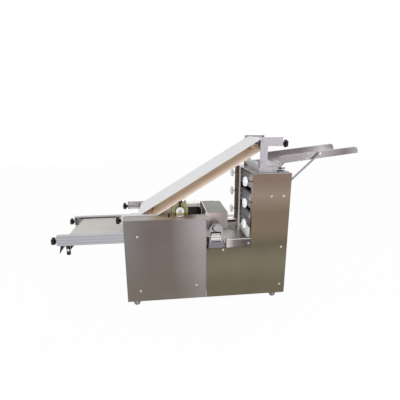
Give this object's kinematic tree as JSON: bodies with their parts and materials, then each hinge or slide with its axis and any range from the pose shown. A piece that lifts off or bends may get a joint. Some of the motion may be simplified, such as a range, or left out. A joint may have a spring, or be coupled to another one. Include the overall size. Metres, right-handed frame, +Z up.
{
  "type": "dough sheeting and cutting machine",
  "caption": "Floor-standing bakery machine: sloping infeed trough, roll tower with adjustable gaps, rotary cutter under a hood, flat outlet belt and inclined trim-return belt.",
  "frame": {"origin": "on the floor under the middle of the machine", "axes": "+X from the outlet belt to the infeed trough, +Y from the near side to the far side, +Z up"},
  "size_m": [2.257, 0.505, 1.252],
  "materials": {
    "stainless_panel": "brushed stainless sheet",
    "stainless_plate": "milled stainless plate",
    "folded_sheet": "folded stainless sheet",
    "frame_tube": "square stainless tube",
    "roll_white": "white food-grade polymer roll",
    "belt_white": "white coated conveyor belt",
    "lagging": "yellow-green rubber lagging",
    "shaft_steel": "ground shaft",
    "block_steel": "machined block",
    "white_housing": "white bearing housing",
    "black_plastic": "black moulded plastic",
    "blade_black": "black scraper blade",
    "wheel_light": "turned light-grey wheel",
    "castor_tread": "grey rubber tread",
    "motor_grey": "grey paint",
    "chain_steel": "oiled steel chain",
    "cutter_metal": "machined cutting rings",
    "box_grey": "light grey paint",
    "button_red": "red button"
  },
  "bodies": {
    "machine": {"side_plates": "stainless_plate", "cabinet_panels": "stainless_panel", "tower_panels": "stainless_panel", "end_panels": "stainless_panel", "base_frame": "frame_tube", "tie_bars": "shaft_steel", "outlet_rails": "folded_sheet", "slider_beds": "folded_sheet", "outlet_belt": "belt_white", "return_belt": "belt_white", "foot_brackets": "folded_sheet", "head_brackets": "folded_sheet", "infeed_hopper": "folded_sheet", "infeed_trough": "folded_sheet", "catch_tray": "folded_sheet", "cutter_stands": "stainless_plate", "roll_bearings": "white_housing", "scraper_blades": "blade_black", "gear_motor": "motor_grey", "drive_chains": "chain_steel", "control_box": "box_grey"},
    "upper_fixed_roll": {"upper_fixed_roll": "roll_white"},
    "upper_gap_roll": {"upper_gap_roll": "roll_white"},
    "upper_gap_blocks": {"upper_gap_blocks": "block_steel"},
    "upper_near_hand_wheel": {"upper_near_hand_wheel": "wheel_light"},
    "upper_far_hand_wheel": {"upper_far_hand_wheel": "wheel_light"},
    "middle_fixed_roll": {"middle_fixed_roll": "roll_white"},
    "middle_gap_roll": {"middle_gap_roll": "roll_white"},
    "middle_gap_blocks": {"middle_gap_blocks": "block_steel"},
    "middle_near_hand_wheel": {"middle_near_hand_wheel": "wheel_light"},
    "middle_far_hand_wheel": {"middle_far_hand_wheel": "wheel_light"},
    "lower_fixed_roll": {"lower_fixed_roll": "roll_white"},
    "lower_gap_roll": {"lower_gap_roll": "roll_white"},
    "lower_gap_blocks": {"lower_gap_blocks": "block_steel"},
    "lower_near_hand_wheel": {"lower_near_hand_wheel": "wheel_light"},
    "lower_far_hand_wheel": {"lower_far_hand_wheel": "wheel_light"},
    "drive_shaft": {"drive_shaft": "shaft_steel"},
    "jack_shaft": {"jack_shaft": "shaft_steel"},
    "cutter_roll": {"cutter_roll": "cutter_metal"},
    "belt_drive_roller": {"belt_drive_roller": "shaft_steel"},
    "lagged_roller": {"lagged_roller": "lagging"},
    "outlet_takeup_axle": {"outlet_takeup_axle": "block_steel"},
    "outlet_roller": {"outlet_roller": "shaft_steel"},
    "outlet_near_knob": {"outlet_near_knob": "black_plastic"},
    "outlet_far_knob": {"outlet_far_knob": "black_plastic"},
    "foot_takeup_axle": {"foot_takeup_axle": "block_steel"},
    "foot_roller": {"foot_roller": "shaft_steel"},
    "foot_near_knob": {"foot_near_knob": "black_plastic"},
    "foot_far_knob": {"foot_far_knob": "black_plastic"},
    "head_takeup_axle": {"head_takeup_axle": "block_steel"},
    "head_roller": {"head_roller": "shaft_steel"},
    "head_near_knob": {"head_near_knob": "black_plastic"},
    "head_far_knob": {"head_far_knob": "black_plastic"},
    "near_swivel_fork": {"near_swivel_fork": "block_steel"},
    "near_castor_wheel": {"near_castor_wheel": "castor_tread"},
    "far_swivel_fork": {"far_swivel_fork": "block_steel"},
    "far_castor_wheel": {"far_castor_wheel": "castor_tread"},
    "tower_wheel_pair": {"tower_wheel_pair": "castor_tread"},
    "hood": {"hood": "folded_sheet"},
    "stop_button": {"stop_button": "button_red"}
  },
  "joints": [
    {"name": "upper_fixed_roll_spin", "type": "hinge", "parent": "machine", "child": "upper_fixed_roll", "pos_m": [0.4685, 0, 0.94], "axis": [0, 1, 0], "continuous": true},
    {"name": "upper_gap_slide", "type": "slide", "parent": "machine", "child": "upper_gap_blocks", "axis": [-1, 0, 0], "range_m": [0, 0.008]},
    {"name": "upper_gap_roll_spin", "type": "hinge", "parent": "upper_gap_blocks", "child": "upper_gap_roll", "pos_m": [0.3705, 0, 0.94], "axis": [0, 1, 0], "continuous": true},
    {"name": "upper_near_hand_wheel_turn", "type": "hinge", "parent": "machine", "child": "upper_near_hand_wheel", "pos_m": [0.3035, -0.216, 0.94], "axis": [1, 0, 0], "range_deg": [0, 1200]},
    {"name": "upper_far_hand_wheel_turn", "type": "hinge", "parent": "machine", "child": "upper_far_hand_wheel", "pos_m": [0.3035, 0.216, 0.94], "axis": [1, 0, 0], "range_deg": [0, 1200]},
    {"name": "middle_fixed_roll_spin", "type": "hinge", "parent": "machine", "child": "middle_fixed_roll", "pos_m": [0.4685, 0, 0.78], "axis": [0, 1, 0], "continuous": true},
    {"name": "middle_gap_slide", "type": "slide", "parent": "machine", "child": "middle_gap_blocks", "axis": [-1, 0, 0], "range_m": [0, 0.008]},
    {"name": "middle_gap_roll_spin", "type": "hinge", "parent": "middle_gap_blocks", "child": "middle_gap_roll", "pos_m": [0.3705, 0, 0.78], "axis": [0, 1, 0], "continuous": true},
    {"name": "middle_near_hand_wheel_turn", "type": "hinge", "parent": "machine", "child": "middle_near_hand_wheel", "pos_m": [0.3035, -0.216, 0.78], "axis": [1, 0, 0], "range_deg": [0, 1200]},
    {"name": "middle_far_hand_wheel_turn", "type": "hinge", "parent": "machine", "child": "middle_far_hand_wheel", "pos_m": [0.3035, 0.216, 0.78], "axis": [1, 0, 0], "range_deg": [0, 1200]},
    {"name": "lower_fixed_roll_spin", "type": "hinge", "parent": "machine", "child": "lower_fixed_roll", "pos_m": [0.4685, 0, 0.62], "axis": [0, 1, 0], "continuous": true},
    {"name": "lower_gap_slide", "type": "slide", "parent": "machine", "child": "lower_gap_blocks", "axis": [-1, 0, 0], "range_m": [0, 0.008]},
    {"name": "lower_gap_roll_spin", "type": "hinge", "parent": "lower_gap_blocks", "child": "lower_gap_roll", "pos_m": [0.3705, 0, 0.62], "axis": [0, 1, 0], "continuous": true},
    {"name": "lower_near_hand_wheel_turn", "type": "hinge", "parent": "machine", "child": "lower_near_hand_wheel", "pos_m": [0.3035, -0.216, 0.62], "axis": [1, 0, 0], "range_deg": [0, 1200]},
    {"name": "lower_far_hand_wheel_turn", "type": "hinge", "parent": "machine", "child": "lower_far_hand_wheel", "pos_m": [0.3035, 0.216, 0.62], "axis": [1, 0, 0], "range_deg": [0, 1200]},
    {"name": "drive_shaft_spin", "type": "hinge", "parent": "machine", "child": "drive_shaft", "pos_m": [0.4685, 0, 0.25], "axis": [0, 1, 0], "continuous": true},
    {"name": "jack_shaft_spin", "type": "hinge", "parent": "machine", "child": "jack_shaft", "pos_m": [0.0415, 0, 0.25], "axis": [0, 1, 0], "continuous": true},
    {"name": "cutter_roll_spin", "type": "hinge", "parent": "machine", "child": "cutter_roll", "pos_m": [0.0415, 0, 0.6045], "axis": [0, 1, 0], "continuous": true},
    {"name": "belt_drive_roller_spin", "type": "hinge", "parent": "machine", "child": "belt_drive_roller", "pos_m": [0.0415, 0, 0.546], "axis": [0, 1, 0], "continuous": true},
    {"name": "lagged_roller_spin", "type": "hinge", "parent": "machine", "child": "lagged_roller", "pos_m": [-0.2183, 0, 0.72873], "axis": [0, 1, 0], "continuous": true},
    {"name": "outlet_takeup_slide", "type": "slide", "parent": "machine", "child": "outlet_takeup_axle", "axis": [1, 0, 0], "range_m": [0, 0.02], "deforming": ["outlet_belt"]},
    {"name": "outlet_roller_spin", "type": "hinge", "parent": "outlet_takeup_axle", "child": "outlet_roller", "pos_m": [-0.9975, 0, 0.546], "axis": [0, 1, 0], "continuous": true},
    {"name": "outlet_near_knob_turn", "type": "hinge", "parent": "machine", "child": "outlet_near_knob", "pos_m": [-1.0855, -0.223, 0.546], "axis": [1, 0, 0], "range_deg": [0, 2400]},
    {"name": "outlet_far_knob_turn", "type": "hinge", "parent": "machine", "child": "outlet_far_knob", "pos_m": [-1.0855, 0.223, 0.546], "axis": [1, 0, 0], "range_deg": [0, 2400]},
    {"name": "foot_takeup_slide", "type": "slide", "parent": "machine", "child": "foot_takeup_axle", "axis": [1, 0, 0], "range_m": [0, 0.02], "deforming": ["return_belt"]},
    {"name": "foot_roller_spin", "type": "hinge", "parent": "foot_takeup_axle", "child": "foot_roller", "pos_m": [-0.4975, 0, 0.673], "axis": [0, 1, 0], "continuous": true},
    {"name": "foot_near_knob_turn", "type": "hinge", "parent": "machine", "child": "foot_near_knob", "pos_m": [-0.6385, -0.1985, 0.673], "axis": [1, 0, 0], "range_deg": [0, 2400]},
    {"name": "foot_far_knob_turn", "type": "hinge", "parent": "machine", "child": "foot_far_knob", "pos_m": [-0.6385, 0.1985, 0.673], "axis": [1, 0, 0], "range_deg": [0, 2400]},
    {"name": "head_takeup_slide", "type": "slide", "parent": "machine", "child": "head_takeup_axle", "axis": [-1, 0, 0], "range_m": [0, 0.02], "deforming": ["return_belt"]},
    {"name": "head_roller_spin", "type": "hinge", "parent": "head_takeup_axle", "child": "head_roller", "pos_m": [0.3825, 0, 1.207], "axis": [0, 1, 0], "continuous": true},
    {"name": "head_near_knob_turn", "type": "hinge", "parent": "machine", "child": "head_near_knob", "pos_m": [0.5195, -0.2065, 1.207], "axis": [1, 0, 0], "range_deg": [0, 2400]},
    {"name": "head_far_knob_turn", "type": "hinge", "parent": "machine", "child": "head_far_knob", "pos_m": [0.5195, 0.2065, 1.207], "axis": [1, 0, 0], "range_deg": [0, 2400]},
    {"name": "near_castor_swivel", "type": "hinge", "parent": "machine", "child": "near_swivel_fork", "pos_m": [-0.5415, -0.216, 0.097], "axis": [0, 0, 1], "continuous": true},
    {"name": "near_castor_roll", "type": "hinge", "parent": "near_swivel_fork", "child": "near_castor_wheel", "pos_m": [-0.5595, -0.216, 0.025], "axis": [0, 1, 0], "continuous": true},
    {"name": "far_castor_swivel", "type": "hinge", "parent": "machine", "child": "far_swivel_fork", "pos_m": [-0.5415, 0.216, 0.097], "axis": [0, 0, 1], "continuous": true},
    {"name": "far_castor_roll", "type": "hinge", "parent": "far_swivel_fork", "child": "far_castor_wheel", "pos_m": [-0.5595, 0.216, 0.025], "axis": [0, 1, 0], "continuous": true},
    {"name": "tower_wheels_roll", "type": "hinge", "parent": "machine", "child": "tower_wheel_pair", "pos_m": [0.5065, 0, 0.025], "axis": [0, 1, 0], "continuous": true},
    {"name": "hood_lift", "type": "slide", "parent": "machine", "child": "hood", "axis": [0, 0, 1], "range_m": [0, 0.12]},
    {"name": "stop_button_press", "type": "slide", "parent": "machine", "child": "stop_button", "axis": [-1, 0, 0], "range_m": [0, 0.005], "stiffness_N_per_m": 1200}
  ],
  "couplings": [
    {"joint": "upper_gap_roll_spin", "follows": "upper_fixed_roll_spin", "ratio": -1},
    {"joint": "upper_near_hand_wheel_turn", "follows": "upper_gap_slide", "rad_per_m": 2617.7},
    {"joint": "upper_far_hand_wheel_turn", "follows": "upper_gap_slide", "rad_per_m": 2617.7},
    {"joint": "middle_fixed_roll_spin", "follows": "upper_fixed_roll_spin", "ratio": 1},
    {"joint": "middle_gap_roll_spin", "follows": "upper_fixed_roll_spin", "ratio": -1},
    {"joint": "middle_near_hand_wheel_turn", "follows": "middle_gap_slide", "rad_per_m": 2617.7},
    {"joint": "middle_far_hand_wheel_turn", "follows": "middle_gap_slide", "rad_per_m": 2617.7},
    {"joint": "lower_fixed_roll_spin", "follows": "upper_fixed_roll_spin", "ratio": 1},
    {"joint": "lower_gap_roll_spin", "follows": "upper_fixed_roll_spin", "ratio": -1},
    {"joint": "lower_near_hand_wheel_turn", "follows": "lower_gap_slide", "rad_per_m": 2617.7},
    {"joint": "lower_far_hand_wheel_turn", "follows": "lower_gap_slide", "rad_per_m": 2617.7},
    {"joint": "drive_shaft_spin", "follows": "upper_fixed_roll_spin", "ratio": 1},
    {"joint": "jack_shaft_spin", "follows": "upper_fixed_roll_spin", "ratio": 1},
    {"joint": "belt_drive_roller_spin", "follows": "upper_fixed_roll_spin", "ratio": 1},
    {"joint": "cutter_roll_spin", "follows": "upper_fixed_roll_spin", "ratio": -1},
    {"joint": "lagged_roller_spin", "follows": "upper_fixed_roll_spin", "ratio": 0.56667},
    {"joint": "outlet_roller_spin", "follows": "upper_fixed_roll_spin", "ratio": 1},
    {"joint": "outlet_near_knob_turn", "follows": "outlet_takeup_slide", "rad_per_m": 2094.2},
    {"joint": "outlet_far_knob_turn", "follows": "outlet_takeup_slide", "rad_per_m": 2094.2},
    {"joint": "foot_roller_spin", "follows": "upper_fixed_roll_spin", "ratio": -1},
    {"joint": "foot_near_knob_turn", "follows": "foot_takeup_slide", "rad_per_m": 2094.2},
    {"joint": "foot_far_knob_turn", "follows": "foot_takeup_slide", "rad_per_m": 2094.2},
    {"joint": "head_roller_spin", "follows": "upper_fixed_roll_spin", "ratio": -1},
    {"joint": "head_near_knob_turn", "follows": "head_takeup_slide", "rad_per_m": 2094.2},
    {"joint": "head_far_knob_turn", "follows": "head_takeup_slide", "rad_per_m": 2094.2}
  ]
}
